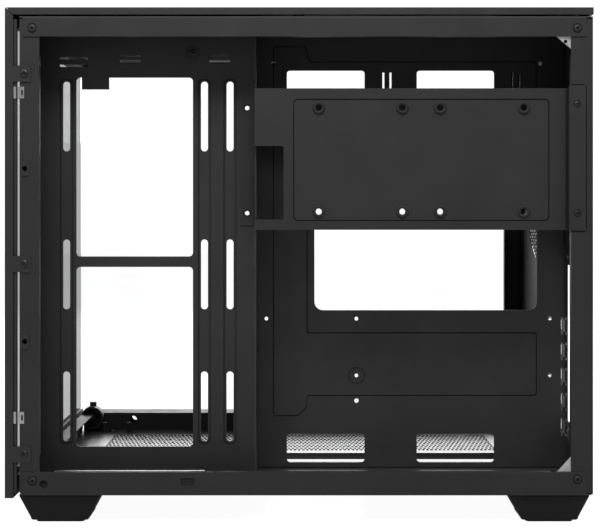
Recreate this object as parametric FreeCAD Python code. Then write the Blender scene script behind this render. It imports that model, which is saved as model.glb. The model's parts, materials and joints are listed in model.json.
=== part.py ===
import FreeCAD, Part
import math
import os

# Dual chamber microATX computer case, empty, right side panel off. Millimetres.
# +X is the open right side, -Y the front, +Z up. Parts are drawn about the middle of
# the shell, then moved so the origin is the bottom centre of everything.

# ---- driving dimensions ----
SHEET = 0.8               # chassis sheet
PLATE = 1.0               # tray and bracket sheet
GLASS = 4.0
HALF_WIDTH = 145.0        # outer plane of the rails
FRONT = -215.5            # face of the front glass
BACK = 215.0              # outer face of the rear wall
COVER_BACK = 215.5
SHELF_OUT = 11.8          # how far the slot shelf stands out of the rear wall
FOOT_H = 20.5
RAIL_LOW_TOP = 37.5       # top edge of the bottom rails
RAIL_HIGH_BOTTOM = 356.4  # bottom edge of the right top rail
ROOF = 370.2              # underside of the roof pan
COVER_LOW = 372.5
COVER_TOP = 377.7
ORIGIN_SHIFT = -(BACK + SHELF_OUT + FRONT) / 2

TRAY_X = 57.0             # face of the tray toward the open side
BRACKET_X = 109.0         # face of the side fan bracket
DRIVE_X = 137.0           # face of the drive plate
POST_X = 144.2            # face of the right posts, one sheet behind the rails

FAN_HOLE = 105.0          # 120 mm fan screw square
REAR_FAN = (-55.0, 239.0)
ROOF_FAN_X = -61.0
SLOT_PITCH = 20.32
SLOT_TOP_Z = 136.5
SLOT_COUNT = 5
DRIVE_W = 61.72           # 2.5 inch drive, bottom holes across
DRIVE_L = 76.6            # and along
DRIVE_CENTRES = (45.3, 134.95)
DRIVE_Z = 266.5
STANDOFFS = [(178.44, 299.9), (46.0, 299.9), (-26.4, 299.9), (201.3, 142.4), (46.0, 142.4),
             (-26.4, 142.4), (201.3, 96.7), (46.0, 96.7)]
BUTTON_Y, BUTTON_Z = -195.6, 29.0
RESET_Y = -176.0

FEET = {"front": (-206.5, -145.4, -196.2, -156.0), "rear": (153.1, 214.0, 164.5, 204.0)}


# ---- small helpers ----
def box(x0, x1, y0, y1, z0, z1):
    return Part.makeBox(x1 - x0, y1 - y0, z1 - z0, FreeCAD.Vector(x0, y0, z0))


def rod(axis, centre, r, a, b):
    """Cylinder of radius r along X, Y or Z from a to b; centre holds the other two."""
    u, v = centre
    start = {"X": (a, u, v), "Y": (u, a, v), "Z": (u, v, a)}[axis]
    way = {"X": (1, 0, 0), "Y": (0, 1, 0), "Z": (0, 0, 1)}[axis]
    return Part.makeCylinder(r, b - a, FreeCAD.Vector(*start), FreeCAD.Vector(*way))


def block(axis, u0, u1, v0, v1, r, a, b):
    """Box from a to b along an axis, its four edges along that axis rounded to r."""
    if axis == "X":
        solid = box(a, b, u0, u1, v0, v1)
    elif axis == "Y":
        solid = box(u0, u1, a, b, v0, v1)
    else:
        solid = box(u0, u1, v0, v1, a, b)
    if r <= 0:
        return solid
    way = {"X": 0, "Y": 1, "Z": 2}[axis]
    edges = []
    for edge in solid.Edges:
        step = edge.Vertexes[1].Point - edge.Vertexes[0].Point
        if abs(step[way]) > 0.5 * (b - a) and abs(step.Length - abs(step[way])) < 1e-6:
            edges.append(edge)
    return solid.makeFillet(r, edges)


def slot(axis, u, v0, v1, width, a, b):
    """Round-ended slot cutter centred on u, running from v0 to v1 along the second axis."""
    return block(axis, u - width / 2, u + width / 2, v0, v1, width / 2 - 0.001, a, b)


def prism(axis, points, a, b):
    """Straight-sided prism from a list of two-axis points."""
    place = {"X": lambda u, v: (a, u, v), "Y": lambda u, v: (u, a, v), "Z": lambda u, v: (u, v, a)}
    way = {"X": (1, 0, 0), "Y": (0, 1, 0), "Z": (0, 0, 1)}[axis]
    ring = [FreeCAD.Vector(*place[axis](u, v)) for u, v in points]
    face = Part.Face(Part.makePolygon(ring + ring[:1]))
    return face.extrude(FreeCAD.Vector(*way) * (b - a))


def join(*solids):
    out = solids[0].fuse(list(solids[1:])) if len(solids) > 1 else solids[0]
    return out.removeSplitter()


def cut(solid, *tools):
    return solid.cut(list(tools)).removeSplitter()


def save(name, shape):
    moved = shape.copy()
    moved.translate(FreeCAD.Vector(0, ORIGIN_SHIFT, 0))
    moved.exportStep("parts/" + name + ".step")
    print(name, len(moved.Solids), moved.isValid(), round(moved.Volume, 1))


def group(solids):
    return Part.makeCompound(solids)


def square_points(u, v, half):
    return [(u + i * half, v + j * half) for i in (-1, 1) for j in (-1, 1)]


def slot_centres():
    return [SLOT_TOP_Z - SLOT_PITCH * i for i in range(SLOT_COUNT)]


def ring_line(spot, r, face):
    """Cutter for a fine pressed ring of radius r round a head on a face toward +X."""
    return cut(rod("X", spot, r, face - 0.4, face + 1), rod("X", spot, r - 0.7, face - 1, face + 2))


def dome(axis, centre, r, base, height, side):
    """Rivet or screw head: a disc with a rounded rim standing on base, out along side."""
    top = base + side * height
    disc = rod(axis, centre, r, min(base, top), max(base, top))
    rim = []
    for edge in disc.Edges:
        if len(edge.Vertexes) == 1:
            where = edge.Vertexes[0].Point
            along = {"X": where.x, "Y": where.y, "Z": where.z}[axis]
            if abs(along - top) < 1e-6:
                rim.append(edge)
    return disc.makeFillet(height * 0.6, rim)


# ---- frame round the open side ----
def right_top_rail():
    x = HALF_WIDTH
    face = box(x - SHEET, x, -202.4, 210.0, RAIL_HIGH_BOTTOM, ROOF)
    shelf = box(x - 16, x, -202.4, 210.0, ROOF - SHEET, ROOF)
    hem = box(x - 5, x, -178.0, 184.0, RAIL_HIGH_BOTTOM, RAIL_HIGH_BOTTOM + SHEET)
    lines = [ring_line(spot, 3.6, x) for spot in ((-195.5, 362.4), (203.6, 362.4))]
    return cut(join(face, shelf, hem), *lines)


def right_bottom_rail():
    x = HALF_WIDTH
    face = box(x - SHEET, x, -202.4, 210.0, FOOT_H, RAIL_LOW_TOP)
    shelf = box(x - 15, x, -202.4, 210.0, FOOT_H + SHEET, FOOT_H + 2 * SHEET)
    hem = box(x - 5, x, -178.0, 184.0, RAIL_LOW_TOP - SHEET, RAIL_LOW_TOP)
    recess = block("X", -86.7, -76.7, 28.0, 33.0, 0.6, x - 0.55, x + 1)
    louvres = [box(x - SHEET, x - 0.2, -86.0, -77.4, z, z + 0.5) for z in (29.4, 31.2)]
    dimple = Part.makeSphere(12.0, FreeCAD.Vector(x + 11.4, -81.7, 26.0))
    hole = rod("X", (-187.2, 28.5), 3.1, x - 2, x + 1)
    lines = [ring_line(spot, 3.6, x) for spot in ((-195.3, 31.1), (203.6, 32.2))]
    return join(cut(join(face, shelf, hem), recess, dimple, hole, *lines), *louvres)


def right_rear_post():
    low, high = FOOT_H + 2 * SHEET, ROOF - SHEET
    face = box(POST_X - SHEET, POST_X, 199.1, BACK - SHEET, low, high)
    ears = [box(131.0, POST_X, BACK - 2 * SHEET, BACK - SHEET, low, 46.0),
            box(131.0, POST_X, BACK - 2 * SHEET, BACK - SHEET, 200.5, high)]
    hem = box(POST_X - 5, POST_X, 199.1, 199.1 + SHEET, 52.0, 343.0)
    holes = [rod("X", (203.5, z), 1.7, 140, 146) for z in (227.0, 307.0)]
    line = cut(block("X", 196.0, 210.6, 213.4, 321.5, 2.6, POST_X - 0.5, POST_X + 1),
               box(POST_X - 1, POST_X + 2, 190.0, 209.7, 214.3, 320.6))
    return cut(join(face, hem, *ears), line, *holes)


def right_front_post():
    low, high = FOOT_H + 2 * SHEET, ROOF - SHEET
    face = box(POST_X - SHEET, POST_X, -204.8, -190.4, low, high)
    leg = box(BRACKET_X + 0.2, POST_X, -204.8, -204.0, low, high)
    hem = box(POST_X - 5, POST_X, -191.2, -190.4, 50.0, 343.0)
    sockets = [block("X", -204.0, -197.7, z - 5.5, z + 5.5, 0.8, 142, 146) for z in (259.7, 133.1)]
    screws = [rod("X", (-201.3, z), 1.5, 140, 146) for z in (329.2, 189.8, 50.5)]
    return cut(join(face, leg, hem), *(sockets + screws))


def corner_gussets():
    shapes = []
    top = [(188.6, 356.4), (199.1, 347.5), (209.0, 347.5), (209.0, 366.0), (188.6, 366.0)]
    low = [(189.0, 37.5), (199.1, 48.6), (209.0, 48.6), (209.0, 24.5), (189.0, 24.5)]
    for points in (top, low):
        shapes.append(prism("X", points, POST_X - 2 * SHEET, POST_X - SHEET))
    pin = block("X", 194.0, 196.4, 351.6, 354.0, 0.2, 141.0, 146.0)
    return group([cut(shapes[0], pin), shapes[1]])


def chassis_rivets():
    spots = [(-195.5, 362.4), (203.6, 362.4), (-195.3, 31.1), (203.6, 32.2)]
    heads = [dome("X", spot, 2.6, HALF_WIDTH, 0.8, 1) for spot in spots]
    heads.append(dome("X", (-81.2, 349.3), 2.6, BRACKET_X - 0.5, 1.4, 1))
    for z in (60.0, 150.0, 240.0, 330.0):
        heads.append(dome("X", (-40.5, z), 2.2, TRAY_X + SHEET, 0.9, 1))
    for x in (-108.0, 20.0, 112.0):
        heads.append(dome("Y", (x, 25.6), 2.4, BACK, 0.9, 1))
        heads.append(dome("Y", (x, 364.0), 2.4, BACK, 0.9, 1))
    for z in (80.0, 190.0, 300.0):
        heads.append(dome("Y", (-133.0, z), 2.4, BACK, 0.9, 1))
    return group(heads)


# ---- plates between the chambers ----
def emboss(plate, outline, x_face, thick, lift):
    """Raise the outlined land toward +X by lift, hollow behind so the sheet stays even."""
    land = prism("X", outline(0.0), x_face - thick, x_face + lift)
    behind = prism("X", outline(-0.9), x_face - thick - 1, x_face - thick + lift)
    return cut(join(plate, land), behind)


def rounded(points, r, steps=5):
    """Corner points of a closed outline, each corner turned into a short arc."""
    out = []
    n = len(points)
    for i in range(n):
        p, c, q = points[i - 1], points[i], points[(i + 1) % n]
        a = math.atan2(p[1] - c[1], p[0] - c[0])
        b = math.atan2(q[1] - c[1], q[0] - c[0])
        start = (c[0] + r * math.cos(a), c[1] + r * math.sin(a))
        end = (c[0] + r * math.cos(b), c[1] + r * math.sin(b))
        for k in range(steps + 1):
            t = k / steps
            u = (1 - t) ** 2 * start[0] + 2 * t * (1 - t) * c[0] + t * t * end[0]
            v = (1 - t) ** 2 * start[1] + 2 * t * (1 - t) * c[1] + t * t * end[1]
            out.append((u, v))
    return out


def tray_land(inset):
    """C-shaped stiffening land; a negative inset shrinks it."""
    e = -inset
    points = [(-20.2 + e, 64.8 + e), (-1.0 - e, 64.8 + e), (5.9 - e, 72.0), (5.9, 81.2 + e),
              (190.0 - e, 81.2 + e), (190.0 - e, 130.5 - e), (5.9 - e, 130.5 - e), (5.9 - e, 283.0 + e),
              (189.9 - e, 283.0 + e), (189.9 - e, 348.1 - e), (7.6 - e, 348.1 - e),
              (4.6 - e, 360.3 - e), (-20.2 + e, 360.3 - e)]
    return rounded(points, 2.4, 3)


def motherboard_tray():
    x0, x1 = TRAY_X - PLATE, TRAY_X
    low, high = FOOT_H + SHEET, ROOF
    sheet = box(x0, x1, -47.5, BACK - SHEET, low, high)
    top = box(x0, x1 + 11, -46.0, 212.0, high - PLATE, high)
    foot = box(x0, x1 + 11, -46.0, 212.0, low, low + PLATE)
    edge = box(x0, x1 + 11, BACK - SHEET - PLATE, BACK - SHEET, 200.5, 366.0)
    line = cut(prism("X", tray_land(0.8), x1 - 0.5, x1 + 1), prism("X", tray_land(0.0), x1 - 1, x1 + 2))
    tray = emboss(cut(join(sheet, top, foot, edge), line), tray_land, x1, PLATE, 0.6)
    tools = [block("X", 12.2, 191.0, 149.1, 270.0, 7.0, 50, 62)]
    for y0, y1 in ((-9.9, 52.5), (94.4, 156.5)):
        tools.append(block("X", y0, y1, 318.4, 341.5, 2.5, 50, 62))
        tools.append(block("X", y0, y1, 26.9, 50.0, 3.0, 50, 62))
    for y0 in (66.8, 72.5, 170.0, 175.7):
        tools.append(box(50, 62, y0, y0 + 1.6, 324.0, 340.0))
    for y, z in STANDOFFS + [(46.0, 76.4), (-20.7, 347.3), (193.4, 347.3)]:
        tools.append(rod("X", (y, z), 1.7, 50, 62))
    for z in slot_centres():
        tools.append(box(50, 62, 210.2, 216.0, z - 7.0, z + 7.0))
    tools += access_holes()
    tools.append(cut(rod("X", (46.0, 96.7), 6.8, x1 + 0.2, x1 + 2), rod("X", (46.0, 96.7), 6.0, x1, x1 + 3)))
    return cut(tray, *tools)


def access_holes():
    """Round holes in line with the drive plate's front holes, through the tray's front edge."""
    return [rod("X", (-41.5, z), 2.6, 50, 62) for z in (228.0, 311.6)]


def standoffs():
    studs = []
    for y, z in STANDOFFS:
        ring = [(y + 3.1 * math.cos(math.radians(60 * k)), z + 3.1 * math.sin(math.radians(60 * k)))
                for k in range(6)]
        stud = prism("X", ring, TRAY_X - PLATE - 6.5, TRAY_X - PLATE)
        neck = rod("X", (y, z), 1.65, TRAY_X - PLATE, TRAY_X - 0.1)
        studs.append(cut(join(stud, neck), rod("X", (y, z), 1.35, 40, 60)))
    return group(studs)


def bracket_channels(a, b, wall=0.0):
    """The long pressed channels that the fan slots lie in, from a to b along X."""
    return [block("X", y0 - wall, y1 + wall, 51.5 - wall, 329.0 + wall, 3.0 + wall, a, b)
            for y0, y1 in ((-182.2, -172.2), (-77.0, -67.5), (-57.6, -47.9))]


def bracket_parts():
    """The side bracket's sheet in three lots: front strip, cross bars, slotted rear strip."""
    x0, x1 = BRACKET_X - PLATE, BRACKET_X
    low = FOOT_H + SHEET
    sheet = box(x0, x1, -204.0, -33.7, low, ROOF)
    flange = box(x0, x1 + 12, -204.0, -203.2, low + 1, ROOF - 1)
    bracket = join(sheet, flange, *bracket_channels(x0 - PLATE, x1, 1.0))
    tools = [block("X", -169.6, -80.9, 194.1, 330.2, 3.0, 100, 115),
             block("X", -169.6, -80.9, 49.4, 186.1, 3.0, 100, 115),
             box(100, 115, -186.0, -72.0, 10.0, 31.4)]
    for y in (-177.2, -72.2, -52.7):
        for z0, z1 in ((274.1, 327.3), (153.8, 207.0), (53.2, 106.4)):
            tools.append(slot("X", y, z0, z1, 5.3, 100, 115))
    tools.append(block("X", -182.4, -160.7, 338.3, 345.9, 1.5, 100, 115))
    tools.append(block("X", -136.4, -120.8, 340.9, 347.4, 1.5, 100, 115))
    tools.append(block("X", -68.6, -52.7, 340.9, 347.4, 1.5, 100, 115))
    tools.append(rod("X", (-81.2, 349.3), 5.0, x1 - 0.5, x1 + 1))
    tools += [rod("X", (-39.6, z), 1.7, 100, 115) for z in (227.0, 307.0)]
    bracket = cut(bracket, *(tools + bracket_channels(x1 - PLATE, x1 + 1)))
    tab = box(x0, x1, -165.4, -144.7, 321.2, 330.5)
    back, front = x0 - 0.6, x1 - 0.6
    bridges = [box(back, front, y0, y1, 343.8, 346.2) for y0, y1 in ((-136.8, -120.4), (-69.0, -52.3))]
    bridges.append(box(back, front, -182.8, -160.3, 340.2, 344.0))
    whole = join(bracket, tab, *bridges)
    seams = (-210.0, -169.6, -80.9, -30.0)
    return [whole.common(box(90, 130, a, b, 10, 400)) for a, b in zip(seams, seams[1:])]


def side_fan_bracket():
    return bracket_parts()[2]


def side_bracket_bars():
    return group(bracket_parts()[1].Solids)


def side_bracket_front():
    return bracket_parts()[0]


def side_bracket_step():
    """Folded strip that carries the side bracket's rear edge across to the tray."""
    low, high = FOOT_H + SHEET + 1.2, ROOF - 1.2
    step = box(TRAY_X, BRACKET_X, -33.7, -32.9, low, high)
    foot = box(TRAY_X, TRAY_X + SHEET, -46.8, -32.9, low, high)
    return cut(join(step, foot), *access_holes())


def drive_holes():
    return [(c + i * DRIVE_W / 2, DRIVE_Z + j * DRIVE_L / 2)
            for c in DRIVE_CENTRES for i in (-1, 1) for j in (-1, 1)]


def drive_plate():
    x0, x1 = DRIVE_X - PLATE, DRIVE_X
    z0, z1 = 214.7, 319.2
    sheet = box(x0, x1, -33.0, 198.7, z0, z1)
    lips = [box(x1 - 9, x1, -29.0, 196.0, z0, z0 + PLATE), box(x1 - 9, x1, -29.0, 196.0, z1 - PLATE, z1)]
    jog = box(BRACKET_X, x1, -33.0, -32.0, 218.0, 316.0)
    tab = box(BRACKET_X, BRACKET_X + PLATE, -45.0, -32.0, 218.0, 316.0)
    rise = box(x0, HALF_WIDTH, 197.7, 198.7, 216.0, 319.0)
    ear = block("X", 197.7, 209.7, 214.3, 320.6, 0.0, POST_X, HALF_WIDTH)
    plate = join(sheet, jog, tab, rise, ear, *lips)
    tools = [block("X", -40.0, -11.5, 222.3, 276.7, 2.2, DRIVE_X - 4, DRIVE_X + 4),
             block("X", -4.6, 184.7, 221.2, 311.5, 3.7, x1 - 0.35, x1 + 1)]
    for y, z in drive_holes():
        tools.append(rod("X", (y, z), 3.4, x0 - 1, x1 + 1))
    for z in (227.0, 307.0):
        tools.append(rod("X", (203.5, z), 1.7, 140, 150))
        tools.append(rod("X", (203.5, z), 2.9, HALF_WIDTH - 0.45, 150))
        tools.append(rod("X", (-39.6, z), 1.7, 105, 115))
        tools.append(rod("X", (-39.6, z), 3.0, BRACKET_X + 0.6, 115))
    tools.append(cut(block("X", -4.6, 184.7, 221.2, 311.5, 3.7, x1 - 0.75, x1 + 1),
                     block("X", -3.7, 183.8, 222.1, 310.6, 2.8, x1 - 1, x1 + 2)))
    return cut(plate, *tools)


def drive_grommets():
    rings = []
    for spot in drive_holes():
        inner = rod("X", spot, 4.6, DRIVE_X - 3.0, DRIVE_X - PLATE)
        neck = rod("X", spot, 3.3, DRIVE_X - PLATE, DRIVE_X - 0.35)
        outer = rod("X", spot, 4.6, DRIVE_X - 0.35, DRIVE_X + 0.9)
        rings.append(cut(join(inner, neck, outer), rod("X", spot, 2.2, 130, 140)))
    return group(rings)


def drive_plate_screws():
    """The two small screws sunk in the drive plate's ear."""
    screws = []
    for z in (227.0, 307.0):
        face = HALF_WIDTH - 0.45
        head = dome("X", (203.5, z), 2.0, face, 0.8, 1)
        recess = rod("X", (203.5, z), 0.8, face + 0.3, face + 2)
        screws.append(cut(join(head, rod("X", (203.5, z), 1.45, face - 4.0, face + 0.3)), recess))
    return screws


# ---- rear wall and slots ----
def rear_fan_points():
    return square_points(REAR_FAN[0], REAR_FAN[1], FAN_HOLE / 2)


def psu_tools():
    opening = block("Y", 61.5, 142.0, 50.7, 196.2, 3.0, 210, 220)
    tabs = [box(55, 70.0, 200, 230, 45, 61.0), box(55, 70.0, 200, 230, 185.8, 200),
            box(121, 134, 200, 230, 45, 61.0), box(131, 145, 200, 230, 162.0, 175.0)]
    holes = [(63.3, 54.4), (63.3, 192.4), (127.3, 54.4), (137.3, 168.4)]
    return [cut(opening, *tabs)] + [rod("Y", spot, 2.0, 210, 220) for spot in holes]


def rear_wall():
    wall = box(-140.5, HALF_WIDTH, BACK - SHEET, BACK, FOOT_H + SHEET, ROOF)
    tools = [block("Y", 6.5, 51.0, 150.0, 308.8, 1.0, 210, 220), rod("Y", REAR_FAN, 57.0, 210, 220),
             block("Y", -64.5, -61.0, 44.0, 148.0, 0.5, 210, 220)]
    for z in slot_centres():
        tools.append(block("Y", -50.0, 50.0, z - 7.0, z + 7.0, 0.8, 210, 220))
    for spot in rear_fan_points():
        tools.append(rod("Y", spot, 2.15, 210, 220))
    return cut(wall, *(tools + psu_tools()))


def rear_fan_grille():
    """Ring and spokes of the punched fan field, filling the wall's round opening."""
    x, z = REAR_FAN
    a, b = BACK - SHEET, BACK
    field = cut(rod("Y", (x, z), 57.0, a, b), rod("Y", (x, z), 55.0, a - 1, b + 1))
    spokes = [box(x - 56.0, x + 56.0, a, b, z + off - 0.8, z + off + 0.8) for off in range(-48, 49, 12)]
    spokes += [box(x + off - 0.8, x + off + 0.8, a, b, z - 56.0, z + 56.0) for off in range(-48, 49, 12)]
    inside = rod("Y", (x, z), 56.0, a, b)
    return join(field, join(*spokes).common(inside))


def slot_shelf():
    foot = box(-61.0, -54.0, BACK, BACK + SHEET, 44.0, 148.0)
    shelf = box(-61.0, -61.0 + SHEET, BACK, BACK + SHELF_OUT, 44.0, 148.0)
    holes = [rod("X", (BACK + 5.6, z), 1.75, -70, -50) for z in slot_centres()]
    return cut(join(foot, shelf), *holes)


def slot_cover(z):
    """Blank slot cover: strip inside the wall, tongue in the tray notch, tab on the shelf."""
    a, b = BACK - SHEET - 0.9, BACK - SHEET
    strip = box(-61.9, 51.5, a, b, z - 9.2, z + 9.2)
    tongue = box(50.0, 58.5, a, b, z - 5.0, z + 5.0)
    tab = box(-61.9, -61.0, a, BACK + 11.0, z - 9.2, z + 9.2)
    vents = [slot("Y", -42.0 + 12.0 * k, z - 5.5, z + 5.5, 5.0, a - 1, b + 1) for k in range(8)]
    hole = block("X", BACK + 3.8, BACK + 12.0, z - 1.8, z + 1.8, 0.8, -65, -60)
    return cut(join(strip, tongue, tab), hole, *vents)


def slot_screws():
    screws = []
    for z in slot_centres():
        spot = (BACK + 5.6, z)
        head = rod("X", spot, 3.6, -65.4, -61.9)
        grip = rod("X", spot, 4.2, -64.6, -63.0)
        shank = rod("X", spot, 1.55, -62.0, -57.5)
        cross = join(box(-66, -64.4, spot[0] - 2.4, spot[0] + 2.4, z - 0.4, z + 0.4),
                     box(-66, -64.4, spot[0] - 0.4, spot[0] + 0.4, z - 2.4, z + 2.4))
        screws.append(cut(join(head, grip, shank), cross))
    return group(screws)


# ---- floor and roof ----
VENT = (-101.0, -17.0, -175.0, 175.0)


def floor_pan():
    z0, z1 = FOOT_H, FOOT_H + SHEET
    pan = box(-122.8, POST_X, -204.8, BACK - 0.8, z0, z1)
    tools = [box(*VENT, z0 - 1, z1 + 1)]
    tools.append(slot("Z", 19.5, -150.0, 70.0, 14.0, z0 - 1, z1 + 1))
    tools.append(slot("Z", 19.5, 88.0, 190.0, 14.0, z0 - 1, z1 + 1))
    tools.append(block("Z", 78.0, 132.0, -20.0, 40.0, 2.5, z0 - 1, z1 + 1))
    lips = [box(11.7, 12.5, y0, y1, z0, z1 + 4.5) for y0, y1 in ((-143.0, 63.0), (95.0, 183.0))]
    return join(cut(pan, *tools), *lips)


def floor_vents():
    """The punched field of the floor, a sheet with rows of long holes."""
    z0, z1 = FOOT_H, FOOT_H + SHEET
    x0, x1, y0, y1 = VENT
    spans = ((y0 + 5, -62.0), (-56.0, 56.0), (62.0, y1 - 5))
    rows = [box(x0 + 5 + 13.0 * k, x0 + 12 + 13.0 * k, a, b, z0 - 1, z1 + 1)
            for k in range(6) for a, b in spans]
    return cut(box(x0, x1, y0, y1, z0, z1), *rows)


def roof_pan():
    z0, z1 = ROOF, ROOF + SHEET
    pan = box(-139.0, HALF_WIDTH, -204.8, BACK, z0, z1)
    tools = []
    for y0, y1 in ((-178.0, -14.0), (6.0, 170.0)):
        tools.append(block("Z", -107.0, -15.0, y0, y1, 6.0, z0 - 1, z1 + 1))
        for u, v in square_points(ROOF_FAN_X, (y0 + y1) / 2, FAN_HOLE / 2):
            tools.append(slot("Z", u, v - 20.0, v + 20.0, 5.0, z0 - 1, z1 + 1))
    tools.append(block("Z", 74.0, 122.0, -26.0, 150.0, 4.0, z0 - 1, z1 + 1))
    return cut(pan, *tools)


# ---- far frame ----
def left_bottom_rail():
    x0, x1 = -HALF_WIDTH, -122.8
    tube = box(x0, x1, -204.8, BACK - SHEET, FOOT_H, RAIL_LOW_TOP)
    bore = box(x0 + 1, x1 - 1, -206, BACK + 1, FOOT_H + 1, RAIL_LOW_TOP - 1)
    face = (x0 - 1, x0 + 1.5)
    tools = [bore, rod("X", (BUTTON_Y, BUTTON_Z), 6.1, *face), rod("X", (RESET_Y, BUTTON_Z), 2.6, *face),
             rod("X", (-158.0, 31.0), 3.6, x0 - 1, x1 + 1), rod("X", (-86.0, BUTTON_Z), 3.05, *face),
             block("X", -104.6, -95.0, BUTTON_Z - 1.8, BUTTON_Z + 1.8, 1.7, *face)]
    for y in (-140.0, -120.0):
        tools.append(block("X", y - 6.9, y + 6.9, BUTTON_Z - 3.2, BUTTON_Z + 3.2, 0.4, *face))
    return cut(tube, *tools)


def left_top_rail():
    web = box(-139.8, -139.0, -203.6, 197.0, 366.0, ROOF)
    lip = box(-139.8, -129.0, -203.6, 197.0, 366.0, 366.0 + SHEET)
    holes = [rod("X", (y, 368.4), 1.1, -145, -135) for y in (-180.0, 0.0, 180.0)]
    return cut(join(web, lip), *holes)


def left_rear_post():
    face = box(-139.8, -139.0, 197.0, BACK - SHEET, RAIL_LOW_TOP, ROOF)
    leg = box(-139.8, -127.0, BACK - 2 * SHEET, BACK - SHEET, RAIL_LOW_TOP, ROOF)
    hem = box(-139.8, -134.0, 197.0, 197.8, RAIL_LOW_TOP, ROOF)
    holes = [rod("X", (205.0, z), 1.6, -145, -135) for z in (90.0, 320.0)]
    return cut(join(face, leg, hem), *holes)


def front_header():
    web = box(-139.0, BRACKET_X - 1.2, -204.8, -204.0, 356.0, ROOF)
    lip = box(-139.0, BRACKET_X - 1.2, -204.8, -194.0, 356.0, 356.8)
    return join(web, lip)


def front_sill():
    low = FOOT_H + SHEET
    web = box(-112.0, BRACKET_X - 1.2, -204.8, -204.0, low, RAIL_LOW_TOP)
    lip = box(-112.0, BRACKET_X - 1.2, -204.8, -194.0, RAIL_LOW_TOP - SHEET, RAIL_LOW_TOP)
    return join(web, lip)


# ---- skin ----
def top_cover():
    x = HALF_WIDTH
    side = [(FRONT + 0.9, COVER_TOP), (COVER_BACK, COVER_TOP), (COVER_BACK, COVER_LOW), (-209.4, COVER_LOW)]
    slab = prism("X", side, -x, x)
    hollow = box(-x + 2.4, x - 2.4, -202.0, COVER_BACK - 2.4, COVER_LOW - 1, COVER_TOP - 1.6)
    seat = block("Z", -121.0, 6.0, -186.0, 178.0, 4.0, COVER_TOP - 1.0, COVER_TOP + 1)
    opening = block("Z", -115.0, 0.0, -180.0, 172.0, 4.0, COVER_LOW - 1, COVER_TOP + 1)
    cover = cut(slab, hollow, seat, opening)
    spots = [(i, j) for i in (-130.0, 40.0, 136.0) for j in (-190.0, 0.0, 200.0)]
    bosses = [rod("Z", spot, 4.0, ROOF + SHEET, COVER_TOP - 1.5) for spot in spots]
    return join(cover, *bosses)


def top_filter_frame():
    z0 = COVER_TOP - 1.0
    outer = block("Z", -120.7, 5.7, -185.7, 177.7, 3.7, z0, COVER_TOP - 0.1)
    inner = block("Z", -113.0, -2.0, -178.0, 170.0, 3.0, z0 - 1, COVER_TOP + 1)
    bars = [box(-114.0, -1.0, y - 2, y + 2, z0, COVER_TOP - 0.1) for y in (-62.0, 54.0)]
    return join(cut(outer, inner), *bars)


def top_filter_mesh():
    z0 = COVER_TOP - 1.3
    return block("Z", -114.6, -0.4, -179.6, 171.6, 4.0, z0, z0 + 0.3)


def front_glass():
    return block("Y", -HALF_WIDTH, 133.8, 38.3, 371.3, 1.0, FRONT, FRONT + GLASS)


def front_panel_frame():
    x = HALF_WIDTH
    top = [(FRONT, COVER_TOP), (FRONT + 0.3, COVER_TOP), (-209.9, COVER_LOW - 0.1), (-209.9, 371.5),
           (FRONT, 371.5)]
    head = prism("X", top, -x, x)
    stile = box(134.0, x, FRONT, -209.4, 18.4, 371.6)
    rib = box(140.5, POST_X, -209.5, -207.0, 22.0, 369.0)
    sill = box(-x, x, FRONT, -209.4, 18.4, 38.1)
    tie = box(-110.0, x - 8, -209.5, -204.9, 24.0, 34.0)
    crown = box(-x + 8, x - 8, -211.4, -204.9, 364.0, 368.0)
    neck = box(-x + 8, x - 8, -211.4, -209.9, 364.0, 371.6)
    ears = [box(POST_X, x, -209.5, -196.6, z - 6.0, z + 6.0) for z in (329.2, 189.8, 50.5)]
    holes = [rod("X", (-201.3, z), 1.7, 140, 150) for z in (329.2, 189.8, 50.5)]
    return cut(join(head, stile, rib, sill, tie, crown, neck, *ears), *holes)


def panel_screws():
    """Screws of the front frame's three ears, with those of the drive plate's ear."""
    screws = drive_plate_screws()
    for z in (329.2, 189.8, 50.5):
        head = dome("X", (-201.3, z), 2.8, HALF_WIDTH, 1.0, 1)
        shank = rod("X", (-201.3, z), 1.4, HALF_WIDTH - 5, HALF_WIDTH + 0.3)
        screws.append(cut(join(head, shank), rod("X", (-201.3, z), 0.9, HALF_WIDTH + 0.4, HALF_WIDTH + 2)))
    return screws


def front_snap_clips():
    """Spring clips on the front post and the small strikes on the front frame beside them."""
    clips = []
    for z in (315.3, 77.2):
        leaf = box(POST_X, POST_X + 0.5, -206.2, -201.4, z - 4.3, z + 4.3)
        window = block("X", -203.6, -202.2, z - 2.0, z + 2.0, 0.3, 140, 146)
        tongue = box(140.0, POST_X + 0.5, -206.2, -205.7, z - 4.3, z + 4.3)
        clips.append(cut(join(leaf, tongue), window))
        clips.append(block("X", -209.1, -207.3, z - 4.3, z + 4.3, 0.5, POST_X, POST_X + 0.4))
    return group(clips)


def front_pin_sockets():
    sockets = []
    for z in (259.7, 133.1):
        body = block("X", -203.9, -197.8, z - 5.4, z + 5.4, 0.7, 138.0, POST_X + 0.6)
        sockets.append(cut(body, rod("X", (-200.85, z), 2.0, 139.5, 146)))
    return group(sockets)


def side_glass():
    return block("X", -211.0, 214.6, 38.3, 371.5, 1.0, -HALF_WIDTH, -HALF_WIDTH + GLASS)


def side_glass_strips():
    x0 = -HALF_WIDTH + GLASS
    top = box(x0, x0 + 0.8, -205.0, 211.0, 366.4, 371.0)
    rear = box(x0, x0 + 0.8, 199.5, 211.0, 44.0, 364.0)
    return group([top, rear])


def side_glass_studs():
    x0 = -HALF_WIDTH + GLASS + 0.8
    spots = [(y, 368.4, 1.0) for y in (-180.0, 0.0, 180.0)] + [(205.0, z, 1.5) for z in (90.0, 320.0)]
    return group([rod("X", (y, z), r, x0, x0 + 5.0) for y, z, r in spots])


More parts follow.
